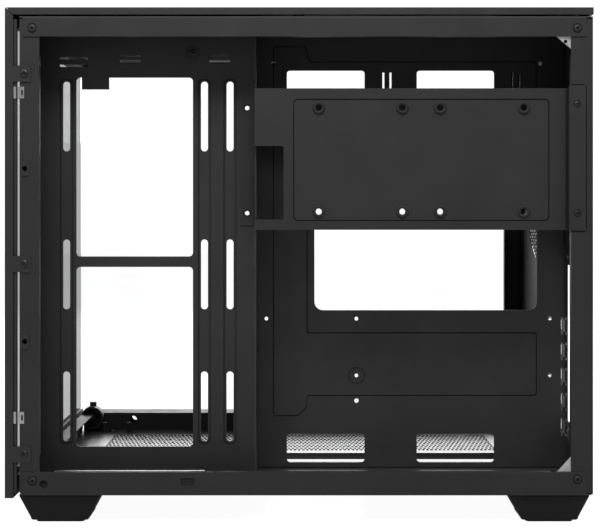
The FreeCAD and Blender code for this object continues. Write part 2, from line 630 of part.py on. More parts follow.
# ---- feet and bottom filter ----
def foot(side, end):
    a, b, c, d = FEET[end]
    x0, x1 = (107.0, 143.0) if side > 0 else (-143.0, -107.0)
    profile = [(a, FOOT_H), (b, FOOT_H), (d + 1.5, 3.6), (d, 1.5), (c, 1.5), (c - 1.5, 3.6)]
    return prism("X", profile, x0, x1)


def foot_pads():
    pads = []
    for end in ("front", "rear"):
        c, d = FEET[end][2:]
        for x0 in (111.0, -139.0):
            pads.append(block("Z", x0, x0 + 28.0, c + 2.5, d - 2.5, 3.0, 0.0, 1.5))
    return group(pads)


def case_screws():
    """Screws of the feet, of the front frame's ears and of the drive plate's ear."""
    heads = panel_screws()
    for end in ("front", "rear"):
        y = (FEET[end][0] + FEET[end][1]) / 2
        for x, base in ((118.0, FOOT_H + SHEET), (-115.0, FOOT_H + SHEET)):
            heads.append(dome("Z", (x, y), 3.2, base, 1.6, 1))
    return group(heads)


def bottom_filter_frame():
    outer = block("Z", -104.0, -12.0, -200.0, 184.0, 2.0, 15.5, 17.8)
    inner = block("Z", -99.0, -17.0, -188.0, 178.0, 2.0, 15.0, 19.0)
    bars = [box(-100.0, -16.0, y - 1.5, y + 1.5, 15.5, 17.8) for y in (-66.0, 56.0)]
    pull = block("Z", -78.0, -38.0, -207.0, -198.0, 2.0, 15.5, 17.8)
    return join(cut(outer, inner), pull, *bars)


def bottom_filter_mesh():
    return box(-100.0, -16.0, -189.0, 179.0, 17.8, 18.1)


def bottom_filter_guides():
    """One long rail on the left of the filter and three short hooks on its right."""
    runs = [(-106.0, -106.0, -101.5, -140.0, 148.0)]
    runs += [(-10.7, -14.5, -9.7, y, y + 20.0) for y in (-130.0, -50.0, 74.0)]
    guides = []
    for wall, lip0, lip1, y0, y1 in runs:
        web = box(wall, wall + 1.0, y0, y1, 14.0, FOOT_H)
        lip = box(lip0, lip1, y0, y1, 14.0, 15.0)
        guides.append(join(web, lip))
    return group(guides)


# ---- buttons and sockets in the far bottom rail ----
def power_button():
    x, spot = -HALF_WIDTH, (BUTTON_Y, BUTTON_Z)
    cap = rod("X", spot, 6.0, x - 1.0, x + 1.2)
    flange = rod("X", spot, 6.7, x + 1.05, x + 2.4)
    stem = rod("X", spot, 2.2, x + 2.4, x + 9.0)
    dish = Part.makeSphere(40.0, FreeCAD.Vector(x - 1.0 - 39.6, BUTTON_Y, BUTTON_Z))
    return cut(join(cap, flange, stem), dish)


def power_button_housing():
    x, spot = -HALF_WIDTH, (BUTTON_Y, BUTTON_Z)
    body = box(x + 1.0, x + 17.0, BUTTON_Y - 8.6, BUTTON_Y + 8.6, 21.6, 36.4)
    bore = rod("X", spot, 6.8, x, x + 9.2)
    well = rod("X", spot, 2.9, x + 9.0, x + 13.0)
    return cut(body, bore, well)


def power_button_spring():
    """Turns of the coil between the button's flange and the bottom of its housing."""
    a, r, wire, pitch, turns = -HALF_WIDTH + 2.9, 4.0, 0.25, 1.4, 5
    way = FreeCAD.Vector(1, 0, 0)
    return group([Part.makeTorus(r, wire, FreeCAD.Vector(a + pitch * k, BUTTON_Y, BUTTON_Z), way)
                  for k in range(turns)])


def power_housing_cap():
    """Round cup on the inner side of the rail, where the switch leads would leave."""
    spot, x0 = (BUTTON_Y, 34.0), -122.8
    cup = cut(rod("X", spot, 10.5, x0, x0 + 9.0), rod("X", spot, 8.6, x0 + 1.5, x0 + 10.0))
    tab = box(x0, x0 + 2.0, BUTTON_Y - 3.0, BUTTON_Y + 3.0, 43.0, 48.0)
    hub = rod("X", spot, 3.0, x0 + 1.0, x0 + 7.0)
    return join(cup, tab, hub)


def reset_button():
    x, spot = -HALF_WIDTH, (RESET_Y, BUTTON_Z)
    return join(rod("X", spot, 2.5, x - 0.4, x + 1.2), rod("X", spot, 3.3, x + 1.05, x + 2.2),
                rod("X", spot, 1.2, x + 2.2, x + 4.5))


def reset_switch():
    x = -HALF_WIDTH
    body = box(x + 6.0, x + 15.0, RESET_Y - 4.0, RESET_Y + 4.0, 24.5, 33.5)
    side = [box(x + 1.0, x + 6.0, RESET_Y + s, RESET_Y + s + 1.0, 24.5, 33.5) for s in (-5.0, 4.0)]
    arm = [box(x + 5.0, x + 7.0, RESET_Y - 5.0, RESET_Y - 3.6, 24.5, 33.5),
           box(x + 5.0, x + 7.0, RESET_Y + 3.6, RESET_Y + 5.0, 24.5, 33.5)]
    return join(body, *(side + arm))


def usb_ports():
    ports = [usb_c_port()]
    for y in (-140.0, -120.0):
        z = BUTTON_Z
        shell = block("X", y - 6.6, y + 6.6, z - 2.9, z + 2.9, 0.4, -HALF_WIDTH + 0.2, -130.0)
        hollow = box(-HALF_WIDTH, -132.0, y - 6.2, y + 6.2, z - 2.5, z + 2.5)
        tongue = box(-HALF_WIDTH + 1.5, -131.0, y - 5.6, y + 5.6, z + 0.2, z + 2.0)
        ports.append(join(cut(shell, hollow), tongue))
    return group(ports)


def usb_c_port():
    y, z = -99.8, BUTTON_Z
    shell = block("X", y - 4.5, y + 4.5, z - 1.63, z + 1.63, 1.6, -HALF_WIDTH + 0.2, -130.0)
    hollow = block("X", y - 4.2, y + 4.2, z - 1.33, z + 1.33, 1.3, -HALF_WIDTH, -132.0)
    tongue = box(-HALF_WIDTH + 1.0, -131.0, y - 3.3, y + 3.3, z - 0.35, z + 0.35)
    return join(cut(shell, hollow), tongue)


def audio_jack():
    y, z = -86.0, BUTTON_Z
    barrel = rod("X", (y, z), 2.95, -HALF_WIDTH + 0.2, -142.0)
    body = box(-143.0, -130.0, y - 3.4, y + 3.4, z - 3.2, z + 3.2)
    return cut(join(barrel, body), rod("X", (y, z), 1.8, -146.0, -131.5))


def io_board():
    board = box(-130.0, -128.4, -150.0, -78.0, 22.0, 35.5)
    plug = box(-128.4, -124.2, -116.0, -96.0, 24.0, 33.0)
    return join(board, plug)


def floor_posts():
    z0 = FOOT_H + SHEET
    return group([rod("Z", (-112.0, y), 2.1, z0, z0 + 9.0) for y in (-183.0, -160.3)])


def main():
    os.makedirs("parts", exist_ok=True)
    plain = [right_top_rail, right_bottom_rail, right_rear_post, right_front_post, corner_gussets,
             chassis_rivets, motherboard_tray, standoffs, side_fan_bracket, side_bracket_bars,
             side_bracket_front, side_bracket_step, drive_plate, drive_grommets, rear_wall,
             rear_fan_grille, slot_shelf, slot_screws, floor_pan, floor_vents, roof_pan,
             left_bottom_rail, left_top_rail, left_rear_post, front_header, front_sill, top_cover,
             top_filter_frame, top_filter_mesh, front_glass, front_panel_frame, front_snap_clips,
             front_pin_sockets, side_glass, side_glass_strips, side_glass_studs, foot_pads,
             case_screws, bottom_filter_frame, bottom_filter_mesh, bottom_filter_guides,
             power_button, power_button_housing, power_button_spring, power_housing_cap,
             reset_button, reset_switch, usb_ports, audio_jack, io_board, floor_posts]
    for make in plain:
        save(make.__name__, make())
    for i, z in enumerate(slot_centres()):
        save("slot_cover_" + str(i + 1), slot_cover(z))
    for end in ("front", "rear"):
        save("foot_" + end + "_right", foot(1, end))
        save("foot_" + end + "_left", foot(-1, end))


main()
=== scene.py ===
import json
import math

import bmesh
import bpy
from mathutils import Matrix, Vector


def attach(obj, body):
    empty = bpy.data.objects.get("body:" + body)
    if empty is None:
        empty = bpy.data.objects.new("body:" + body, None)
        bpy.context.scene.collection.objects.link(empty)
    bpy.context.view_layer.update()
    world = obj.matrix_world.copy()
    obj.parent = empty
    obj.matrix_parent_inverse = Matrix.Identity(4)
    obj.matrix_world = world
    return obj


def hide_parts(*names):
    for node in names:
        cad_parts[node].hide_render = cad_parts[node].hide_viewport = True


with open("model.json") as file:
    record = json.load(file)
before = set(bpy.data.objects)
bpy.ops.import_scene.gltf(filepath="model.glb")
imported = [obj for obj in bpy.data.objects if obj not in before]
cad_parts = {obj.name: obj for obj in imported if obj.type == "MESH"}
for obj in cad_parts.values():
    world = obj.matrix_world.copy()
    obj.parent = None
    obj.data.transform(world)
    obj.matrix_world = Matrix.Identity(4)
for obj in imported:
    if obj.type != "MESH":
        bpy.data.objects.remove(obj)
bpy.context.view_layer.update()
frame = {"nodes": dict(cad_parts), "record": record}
NODES = frame["nodes"]

MM = 0.001

# the case's driving sizes, in shell millimetres: front is -Y, the open side +X, ground Z 0
SHELF_OUT, FRONT, BACK = 11.8, -215.5, 215.0
Y_SHIFT = -(BACK + SHELF_OUT + FRONT) / 2      # shell middle to row origin, mm

TRAY_X, BRACKET_X, DRIVE_X, RAIL_X = 57.0, 109.0, 137.0, 145.0
DRIVE_CENTRES, DRIVE_Z = (45.3, 134.95), 266.5
DRIVE_W, DRIVE_L = 61.72, 76.6                 # hole spacing of a 2.5 inch drive
BUTTON_Y, BUTTON_Z = -195.6, 29.0
SLOT_Z = [136.5 - 20.32 * i for i in range(5)]
REAR_FAN = (-55.0, 239.0)
VENT = (-101.0, -17.0, -175.0, 175.0)          # the floor's punched field, X then Y
FLOOR_LOW, FLOOR_TOP = 20.5, 21.3              # the floor's sheet steel
WALL = 0.8                                     # the rear wall's sheet steel
# each foot along Y: first and last at the top, first and last at the ground
FEET = {"front": (-206.5, -145.4, -196.2, -156.0), "rear": (153.1, 214.0, 164.5, 204.0)}


def at(x, y, z):
    """Shell millimetres to row metres."""
    return Vector((x * MM, (y + Y_SHIFT) * MM, z * MM))


# ---------------------------------------------------------------- mesh helpers
def mesh_object(name, verts, faces, smooth=True, angle=35.0):
    mesh = bpy.data.meshes.new(name)
    mesh.from_pydata([tuple(v) for v in verts], [], faces)
    mesh.validate()
    bm = bmesh.new()
    bm.from_mesh(mesh)
    bmesh.ops.recalc_face_normals(bm, faces=bm.faces)
    bm.to_mesh(mesh)
    bm.free()
    ob = bpy.data.objects.new(name, mesh)
    bpy.context.scene.collection.objects.link(ob)
    if smooth:
        shade(ob, angle)
    return ob


def shade(ob, angle=35.0):
    mesh = ob.data
    mesh.polygons.foreach_set("use_smooth", [True] * len(mesh.polygons))
    mesh.set_sharp_from_angle(angle=math.radians(angle))


class Build:
    """Collects loose parts of one piece, in shell millimetres."""

    def __init__(self):
        self.verts, self.faces = [], []

    def add(self, verts, faces):
        n = len(self.verts)
        self.verts += [tuple(v) for v in verts]
        self.faces += [tuple(i + n for i in f) for f in faces]

    def object(self, name, angle=35.0):
        return mesh_object(name, [at(*v) for v in self.verts], self.faces, angle=angle)


AXES = {
    "+X": lambda u, v, h: (h, u, v), "-X": lambda u, v, h: (-h, u, v),
    "+Y": lambda u, v, h: (u, h, v), "-Y": lambda u, v, h: (u, -h, v),
    "+Z": lambda u, v, h: (u, v, h), "-Z": lambda u, v, h: (u, v, -h),
}


def lathe(build, origin, axis, profile, seg=40):
    """Turn (radius, height) pairs round an axis through origin; a radius of 0 closes an end."""
    place = AXES[axis]
    verts, rings = [], []
    for r, h in profile:
        if r <= 1e-9:
            rings.append([len(verts)])
            verts.append(place(0, 0, h))
        else:
            rings.append(list(range(len(verts), len(verts) + seg)))
            verts += [place(u, v, h) for u, v in circle(0, 0, r, seg)]
    faces = []
    for a, b in zip(rings, rings[1:]):
        for k in range(seg):
            j = (k + 1) % seg
            if len(a) == 1 and len(b) == 1:
                continue
            if len(a) == 1:
                faces.append((a[0], b[k], b[j]))
            elif len(b) == 1:
                faces.append((a[k], a[j], b[0]))
            else:
                faces.append((a[k], a[j], b[j], b[k]))
    build.add([(origin[0] + x, origin[1] + y, origin[2] + z) for x, y, z in verts], faces)


def circle(cx, cy, r, n):
    return [(cx + r * math.cos(2 * math.pi * k / n), cy + r * math.sin(2 * math.pi * k / n))
            for k in range(n)]


def arc(cx, cy, r, a0, a1, n):
    return [(cx + r * math.cos(math.radians(a0 + (a1 - a0) * k / n)),
             cy + r * math.sin(math.radians(a0 + (a1 - a0) * k / n))) for k in range(n + 1)]


def crossed_head(build, origin, axis, r, height, slot=0.42, deep=0.7, rings=22, seg=64):
    """Pan head with a cross recess, as a closed polar height field over a flat base."""
    place = AXES[axis]
    reach = r * 0.55
    verts = [place(0, 0, height - deep * height)]
    for i in range(1, rings + 1):
        rad = r * i / rings
        for u, v in circle(0, 0, rad, seg):
            top = height * math.sqrt(max(0.0, 1 - (rad / r) ** 4)) * 0.75 + 0.25 * height
            arm = min(abs(u), abs(v))
            if arm < slot and rad < reach:
                top -= deep * height * min(1.0, (slot - arm) / 0.12) * min(1.0, (reach - rad) / 0.3)
            verts.append(place(u, v, top))
    last = 1 + (rings - 1) * seg
    verts += [place(u, v, 0) for u, v in circle(0, 0, r, seg)]
    base = last + seg
    faces = [(0, 1 + k, 1 + (k + 1) % seg) for k in range(seg)]
    for i in range(rings):
        p = 1 + i * seg
        q = p + seg
        faces += [(p + k, q + k, q + (k + 1) % seg, p + (k + 1) % seg) for k in range(seg)]
    faces.append(tuple(base + k for k in range(seg))[::-1])
    build.add([(origin[0] + x, origin[1] + y, origin[2] + z) for x, y, z in verts], faces)


def tube_along(build, points, r, seg=10):
    """Round wire through the points, flat at both ends."""
    pts = [Vector(p) for p in points]
    n = len(pts)
    verts, faces = [], []
    side = None
    for i, p in enumerate(pts):
        a = pts[max(i - 1, 0)]
        b = pts[min(i + 1, n - 1)]
        t = (b - a).normalized()
        if side is None:
            side = t.orthogonal().normalized()
        side = (side - t * side.dot(t)).normalized()
        up = t.cross(side)
        for k in range(seg):
            ang = 2 * math.pi * k / seg
            verts.append(p + side * (r * math.cos(ang)) + up * (r * math.sin(ang)))
    for i in range(n - 1):
        for k in range(seg):
            j = (k + 1) % seg
            faces.append((i * seg + k, i * seg + j, (i + 1) * seg + j, (i + 1) * seg + k))
    faces.append(tuple(range(seg))[::-1])
    faces.append(tuple((n - 1) * seg + k for k in range(seg)))
    build.add(verts, faces)


def prism_box(build, x0, x1, y0, y1, z0, z1):
    """Straight bar or plate between two corners."""
    verts = [(x, y, z) for x in (x0, x1) for y in (y0, y1) for z in (z0, z1)]
    faces = [(0, 1, 3, 2), (4, 6, 7, 5), (0, 4, 5, 1), (2, 3, 7, 6), (0, 2, 6, 4), (1, 5, 7, 3)]
    build.add(verts, faces)


def punched_cells(build, place, cells, cell_ring, hole_ring, h0, h1):
    """Sheet made of like cells, each with its own hole: two skins and the hole's wall."""
    n = len(hole_ring)
    for cu, cv in cells:
        verts = []
        for h in (h0, h1):
            verts += [place(cu + u, cv + v, h) for u, v in cell_ring]
            verts += [place(cu + u, cv + v, h) for u, v in hole_ring]
        faces = []
        for k in range(n):
            j = (k + 1) % n
            faces.append((k, j, n + j, n + k))
            faces.append((2 * n + j, 2 * n + k, 3 * n + k, 3 * n + j))
            faces.append((n + k, n + j, 3 * n + j, 3 * n + k))
        build.add(verts, faces)


def hexagon(r, points=6):
    """Outline of a hexagon of corner radius r, sampled at even angles."""
    out = []
    for k in range(points):
        a = 2 * math.pi * k / points
        inner = a % (math.pi / 3) - math.pi / 6
        rad = r * math.cos(math.pi / 6) / math.cos(inner)
        out.append((rad * math.cos(a), rad * math.sin(a)))
    return out


def weld(ob, dist=1e-6):
    """Join the points that neighbouring parts share."""
    bm = bmesh.new()
    bm.from_mesh(ob.data)
    bmesh.ops.remove_doubles(bm, verts=bm.verts, dist=dist)
    bmesh.ops.recalc_face_normals(bm, faces=bm.faces)
    bm.to_mesh(ob.data)
    bm.free()


# ---------------------------------------------------------------- materials
def empty_tree(tree):
    for n in list(tree.nodes):
        tree.nodes.remove(n)


def node_material(name):
    mat = bpy.data.materials.new(name)
    mat.use_nodes = True
    nt = mat.node_tree
    empty_tree(nt)
    out = nt.nodes.new("ShaderNodeOutputMaterial")
    bsdf = nt.nodes.new("ShaderNodeBsdfPrincipled")
    nt.links.new(bsdf.outputs[0], out.inputs[0])
    return mat, nt, bsdf


def noise(nt, scale, detail=3.0, rough=0.55):
    """Noise fixed to the piece, so that it rides with it."""
    tc = nt.nodes.new("ShaderNodeTexCoord")
    tex = nt.nodes.new("ShaderNodeTexNoise")
    tex.inputs["Scale"].default_value = scale
    tex.inputs["Detail"].default_value = detail
    tex.inputs["Roughness"].default_value = rough
    nt.links.new(tc.outputs["Object"], tex.inputs["Vector"])
    return tex.outputs["Fac"]


def ramp(nt, value, stops):
    r = nt.nodes.new("ShaderNodeValToRGB")
    while len(r.color_ramp.elements) < len(stops):
        r.color_ramp.elements.new(0.5)
    for e, (pos, col) in zip(r.color_ramp.elements, stops):
        e.position = pos
        e.color = (col[0], col[1], col[2], 1) if isinstance(col, tuple) else (col, col, col, 1)
    nt.links.new(value, r.inputs[0])
    return r.outputs[0]


def map_range(nt, value, **sockets):
    """Map Range node on value; sockets are named From_Min, To_Max and so on."""
    node = nt.nodes.new("ShaderNodeMapRange")
    for sock, val in sockets.items():
        node.inputs[sock.replace("_", " ")].default_value = val
    nt.links.new(value, node.inputs["Value"])
    return node.outputs[0]


def edge_highlight_mask(nt, radius):
    """1 on edges that get the painted highlight: how far the softened normal leans away from the true
    one.
    """
    bev = nt.nodes.new("ShaderNodeBevel")
    bev.samples = 4
    bev.inputs["Radius"].default_value = radius
    geo = nt.nodes.new("ShaderNodeNewGeometry")
    dot = nt.nodes.new("ShaderNodeVectorMath")
    dot.operation = "DOT_PRODUCT"
    nt.links.new(bev.outputs[0], dot.inputs[0])
    nt.links.new(geo.outputs["Normal"], dot.inputs[1])
    return ramp(nt, dot.outputs["Value"], [(0.55, 1.0), (0.93, 0.0)])


def crease_shade_mask(nt, reach):
    """Mask for painted shade: 0 in tight corners and grooves, 1 on open faces."""
    ao = nt.nodes.new("ShaderNodeAmbientOcclusion")
    ao.samples = 8
    ao.only_local = True
    ao.inputs["Distance"].default_value = reach
    return ramp(nt, ao.outputs["AO"], [(0.45, 0.08), (0.92, 1.0)])


def mix_colour(nt, fac, a, b):
    m = nt.nodes.new("ShaderNodeMix")
    m.data_type = "RGBA"
    for sock, val in ((m.inputs[6], a), (m.inputs[7], b)):
        if isinstance(val, tuple):
            sock.default_value = (*val, 1)
        else:
            nt.links.new(val, sock)
    if isinstance(fac, float):
        m.inputs[0].default_value = fac
    else:
        nt.links.new(fac, m.inputs[0])
    return m.outputs[2]


def bump(nt, bsdf, height, strength, distance):
    b = nt.nodes.new("ShaderNodeBump")
    b.inputs["Strength"].default_value = strength
    b.inputs["Distance"].default_value = distance
    nt.links.new(height, b.inputs["Height"])
    nt.links.new(b.outputs[0], bsdf.inputs["Normal"])


def coated(name, dark, light, edge_highlight, rough, grain, bump_m, spec=0.5, paint_crease_shade=True):
    """Grainy painted or moulded surface: mottled colour, uneven gloss, fine bump, painted highlight on
    edges, painted shade in creases.
    """
    mat, nt, bsdf = node_material(name)
    broad = noise(nt, 22.0, 4.0)
    fine = noise(nt, grain, 2.0, 0.6)
    base = mix_colour(nt, ramp(nt, broad, [(0.3, 0.0), (0.7, 1.0)]), dark, light)
    base = mix_colour(nt, ramp(nt, fine, [(0.35, 0.0), (0.75, 0.35)]), base, light)
    # painted highlight: edges are mixed towards a lighter colour
    if edge_highlight:
        base = mix_colour(nt, edge_highlight_mask(nt, 0.0004), base, edge_highlight)
    bsdf.inputs["Specular IOR Level"].default_value = spec
    # painted shade: colour and gloss are darkened in corners and grooves
    if paint_crease_shade:
        unshaded_face = crease_shade_mask(nt, 0.0022)
        base = mix_colour(nt, unshaded_face, tuple(c * 0.2 for c in dark), base)
        nt.links.new(ramp(nt, unshaded_face, [(0.0, 0.0), (1.0, spec)]), bsdf.inputs["Specular IOR Level"])
    nt.links.new(base, bsdf.inputs["Base Color"])
    lo, hi = rough
    nt.links.new(ramp(nt, noise(nt, 60.0, 5.0, 0.65), [(0.3, lo), (0.7, hi)]), bsdf.inputs["Roughness"])
    bump(nt, bsdf, fine, 0.35, bump_m)
    return mat


def metal(name, dark, light, rough, grain=700.0):
    """Plated or bare sheet: blotched colour with a fine uneven gloss."""
    mat, nt, bsdf = node_material(name)
    lines = noise(nt, grain, 3.0, 0.6)
    blotch = noise(nt, 180.0, 4.0, 0.6)
    base = mix_colour(nt, ramp(nt, blotch, [(0.3, 0.0), (0.7, 1.0)]), dark, light)
    nt.links.new(base, bsdf.inputs["Base Color"])
    bsdf.inputs["Metallic"].default_value = 1.0
    nt.links.new(ramp(nt, lines, [(0.3, rough[0]), (0.7, rough[1])]), bsdf.inputs["Roughness"])
    bump(nt, bsdf, lines, 0.2, 0.00005)
    return mat


def glass_material(name, tint, most=1.0):
    """Tinted pane: clear with a Fresnel mirror over it, capped, and faint wipe marks in the gloss."""
    mat, nt, bsdf = node_material(name)
    out = [n for n in nt.nodes if n.type == "OUTPUT_MATERIAL"][0]
    nt.nodes.remove(bsdf)
    clear = nt.nodes.new("ShaderNodeBsdfTransparent")
    haze = noise(nt, 9.0, 5.0, 0.6)
    shade_col = mix_colour(nt, ramp(nt, haze, [(0.35, 0.0), (0.75, 1.0)]), tint,
                           tuple(c * 0.985 for c in tint))
    nt.links.new(shade_col, clear.inputs["Color"])
    gloss = nt.nodes.new("ShaderNodeBsdfGlossy")
    gloss.inputs["Color"].default_value = (0.9, 0.9, 0.9, 1)
    wipes = ramp(nt, noise(nt, 34.0, 6.0, 0.7), [(0.3, 0.02), (0.8, 0.07)])
    nt.links.new(wipes, gloss.inputs["Roughness"])
    fres = nt.nodes.new("ShaderNodeFresnel")
    # the node turns the index over on back faces, so they get it turned over beforehand
    geo = nt.nodes.new("ShaderNodeNewGeometry")
    index = map_range(nt, geo.outputs["Backfacing"], To_Min=1.45, To_Max=1 / 1.45)
    nt.links.new(index, fres.inputs["IOR"])
    mix = nt.nodes.new("ShaderNodeMixShader")
    cap = nt.nodes.new("ShaderNodeMath")
    cap.operation = "MINIMUM"
    cap.inputs[1].default_value = most
    nt.links.new(fres.outputs[0], cap.inputs[0])
    nt.links.new(cap.outputs[0], mix.inputs[0])
    nt.links.new(clear.outputs[0], mix.inputs[1])
    nt.links.new(gloss.outputs[0], mix.inputs[2])
    nt.links.new(mix.outputs[0], out.inputs[0])
    return mat


# the fourth colour of each coat is its painted edge highlight, None for no highlight
POWDER = coated("powder_coat", (0.011, 0.011, 0.0115), (0.017, 0.017, 0.0175), (0.045, 0.045, 0.045),
                (0.5, 0.64), 2600.0, 0.00002, spec=0.4)
POWDER_DEEP = coated("powder_coat_inner", (0.018, 0.018, 0.0185), (0.027, 0.027, 0.0275),
                     (0.05, 0.05, 0.05), (0.5, 0.64), 2600.0, 0.00002, spec=0.5)
POWDER_SHEET = coated("powder_coat_bracket", (0.012, 0.012, 0.0125), (0.018, 0.018, 0.0185), None,
                      (0.52, 0.66), 2600.0, 0.00002, spec=0.42)
POWDER_SATIN = coated("powder_coat_satin", (0.02, 0.02, 0.0205), (0.03, 0.03, 0.0305),
                      (0.05, 0.05, 0.05), (0.3, 0.4), 2600.0, 0.00001, spec=0.9, paint_crease_shade=False)
PLASTIC = coated("moulded_plastic", (0.014, 0.014, 0.0145), (0.02, 0.02, 0.0205),
                 (0.04, 0.04, 0.042), (0.45, 0.58), 1500.0, 0.00003, spec=0.4)
FOOT_PLASTIC = coated("foot_plastic", (0.004, 0.004, 0.0042), (0.006, 0.006, 0.0062),
                      (0.02, 0.02, 0.02), (0.5, 0.62), 1500.0, 0.00005, spec=0.25)
RUBBER = coated("soft_rubber", (0.012, 0.012, 0.012), (0.019, 0.019, 0.019), None,
                (0.68, 0.85), 1900.0, 0.00006, spec=0.3)
NET = coated("woven_net", (0.012, 0.012, 0.013), (0.022, 0.022, 0.023), None, (0.6, 0.8), 3000.0, 0.00003)
ZINC = metal("zinc_plate", (0.42, 0.43, 0.44), (0.56, 0.56, 0.57), (0.28, 0.46))
BLACK_ZINC = metal("black_zinc", (0.035, 0.035, 0.037), (0.07, 0.07, 0.073), (0.3, 0.5))
GALVANISED = metal("galvanised_sheet", (0.5, 0.5, 0.51), (0.66, 0.66, 0.67), (0.38, 0.6), grain=260.0)
BOARD = coated("solder_mask", (0.008, 0.016, 0.01), (0.014, 0.026, 0.016), (0.05, 0.06, 0.05),
               (0.3, 0.42), 900.0, 0.00003)
PANE = glass_material("tinted_pane", (0.955, 0.957, 0.957))
FRONT_PANE = glass_material("tinted_front_pane", (0.58, 0.582, 0.584), most=0.015)

# pieces that aren't in the common powder coat
FINISHES = (
    (FRONT_PANE, ("front_glass",)),
    (PANE, ("side_glass",)),
    (BOARD, ("io_board",)),
    (GALVANISED, ("corner_gussets",)),
    (ZINC, ("standoffs", "front_snap_clips", "side_glass_studs", "usb_ports", "power_button_spring")),
    (BLACK_ZINC, ("slot_screws", "case_screws")),
    (POWDER_DEEP, ("side_bracket_step", "motherboard_tray", "rear_wall", "rear_fan_grille",
                   "front_header", "front_sill")),
    (POWDER_SHEET, ("side_bracket_bars", "side_bracket_front", "side_fan_bracket")),
    (POWDER_SATIN, ("floor_pan", "floor_vents", "roof_pan")),
    (RUBBER, ("drive_grommets", "foot_pads")),
    (NET, ("top_filter_mesh", "bottom_filter_mesh")),
    (PLASTIC, ("front_panel_frame", "top_cover", "top_filter_frame", "bottom_filter_frame",
               "bottom_filter_guides", "front_pin_sockets", "power_housing_cap",
               "power_button_housing", "power_button", "reset_button", "reset_switch", "audio_jack",
               "floor_posts")),
    (FOOT_PLASTIC, ("foot_front_right", "foot_front_left", "foot_rear_right", "foot_rear_left")),
)
NODE_MATERIALS = {node: finish for finish, nodes in FINISHES for node in nodes}


def paint(ob, mat):
    ob.data.materials.clear()
    ob.data.materials.append(mat)


def soften(ob, width, segments=2, angle=40.0):
    """Rounded edges as a modifier; the mesh under it stays as packed."""
    bev = ob.modifiers.new("edge_round", "BEVEL")
    bev.width = width
    bev.segments = segments
    bev.limit_method = "ANGLE"
    bev.angle_limit = math.radians(angle)
    bev.use_clamp_overlap = True
    bev.harden_normals = True


def stand_in(ob, node):
    """ob shows in place of one CAD node, on its body and in its finish."""
    body = next(b for b, ns in frame["record"]["behaviour"]["bodies"].items() if node in ns)
    paint(ob, NODE_MATERIALS.get(node, POWDER))
    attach(ob, body)
    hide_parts(node)


for node_name, node_ob in NODES.items():
    paint(node_ob, NODE_MATERIALS.get(node_name, POWDER))

# width of the rounded edge, in mm, of each carried piece
EDGES = {
    0.1: ("corner_gussets", "front_snap_clips", "usb_ports"),
    0.15: ("side_glass_strips", "io_board"),
    0.2: ("motherboard_tray", "side_bracket_step", "drive_plate", "rear_wall", "floor_pan", "roof_pan",
          "left_top_rail", "slot_shelf", "slot_cover_1", "slot_cover_2", "slot_cover_3",
          "slot_cover_4", "slot_cover_5", "top_filter_frame", "bottom_filter_guides",
          "front_pin_sockets", "audio_jack", "reset_switch"),
    0.25: ("left_rear_post", "front_header", "front_sill", "standoffs", "reset_button",
           "side_glass_studs"),
    0.3: ("right_top_rail", "right_bottom_rail", "right_front_post", "right_rear_post", "floor_posts"),
    0.35: ("front_panel_frame",),
    0.4: ("left_bottom_rail", "bottom_filter_frame", "power_housing_cap", "power_button_housing",
          "foot_pads"),
    0.45: ("top_cover",),
    0.5: ("front_glass", "side_glass"),
}
for width, names in EDGES.items():
    for node_name in names:
        soften(NODES[node_name], width * MM)


# ---------------------------------------------------------------- punched sheets and nets
def floor_vents():
    """Punched field of long oval holes in staggered rows."""
    build = Build()
    x0, x1, y0, y1 = VENT
    pitch, hole, sides, margin, stretch = 3.6, 1.3, 18, 3.0, 2.2
    rise = stretch * pitch * math.sqrt(3) / 2
    ring = [(stretch * u, v) for u, v in circle(0, 0, hole, sides)]
    cell = [(stretch * u, v) for u, v in hexagon(pitch / math.sqrt(3), sides)]
    rows = int((x1 - x0 - 2 * margin) / rise)
    cols = int((y1 - y0 - 2 * margin) / pitch)
    u0 = (x0 + x1) / 2 - (rows - 1) * rise / 2
    v0 = (y0 + y1) / 2 - (cols - 1) * pitch / 2
    cells = [(u0 + i * rise, v0 + j * pitch + (pitch / 2 if i % 2 else 0))
             for i in range(rows) for j in range(cols - (i % 2))]
    punched_cells(build, lambda u, v, h: (u, v, h), cells, cell, ring, FLOOR_LOW, FLOOR_TOP)
    a, b = u0 - rise * 0.45, u0 + (rows - 0.55) * rise
    c, d = v0 - pitch * 0.45, v0 + (cols - 0.55) * pitch
    for rim in ((x0, a, y0, y1), (b, x1, y0, y1), (a, b, y0, c), (a, b, d, y1)):
        prism_box(build, *rim, FLOOR_LOW, FLOOR_TOP)
    ob = build.object("floor_punched_fields")
    weld(ob, 2e-6)
    stand_in(ob, "floor_vents")


def fan_honeycomb():
    """Punched hexagons inside a flat ring."""
    build = Build()
    pitch, wall = 5.6, 0.9
    corner = pitch / math.sqrt(3)
    cell = hexagon(corner)
    hole = hexagon(corner * (pitch - wall) / pitch)
    rise = corner * 1.5
    x, z = REAR_FAN
    cells = []
    for i in range(-14, 15):
        for j in range(-12, 13):
            u, v = i * rise, (j + (0.5 if i % 2 else 0.0)) * pitch
            if math.hypot(u, v) < 53.2:
                cells.append((x + u, z + v))
    inside, outside = BACK - WALL, BACK
    punched_cells(build, lambda u, v, h: (u, h, v), cells, cell, hole, inside, outside)
    rim_in, rim_out, n = 54.2, 57.0, 120
    verts, faces = [], []
    for r, h in ((rim_in, inside), (rim_out, inside), (rim_out, outside), (rim_in, outside)):
        verts += [(u, h, v) for u, v in circle(x, z, r, n)]
    for a in range(4):
        b = (a + 1) % 4
        faces += [(a * n + k, a * n + (k + 1) % n, b * n + (k + 1) % n, b * n + k) for k in range(n)]
    build.add(verts, faces)
    ob = build.object("rear_fan_honeycomb")
    weld(ob, 2e-6)
    stand_in(ob, "rear_fan_grille")


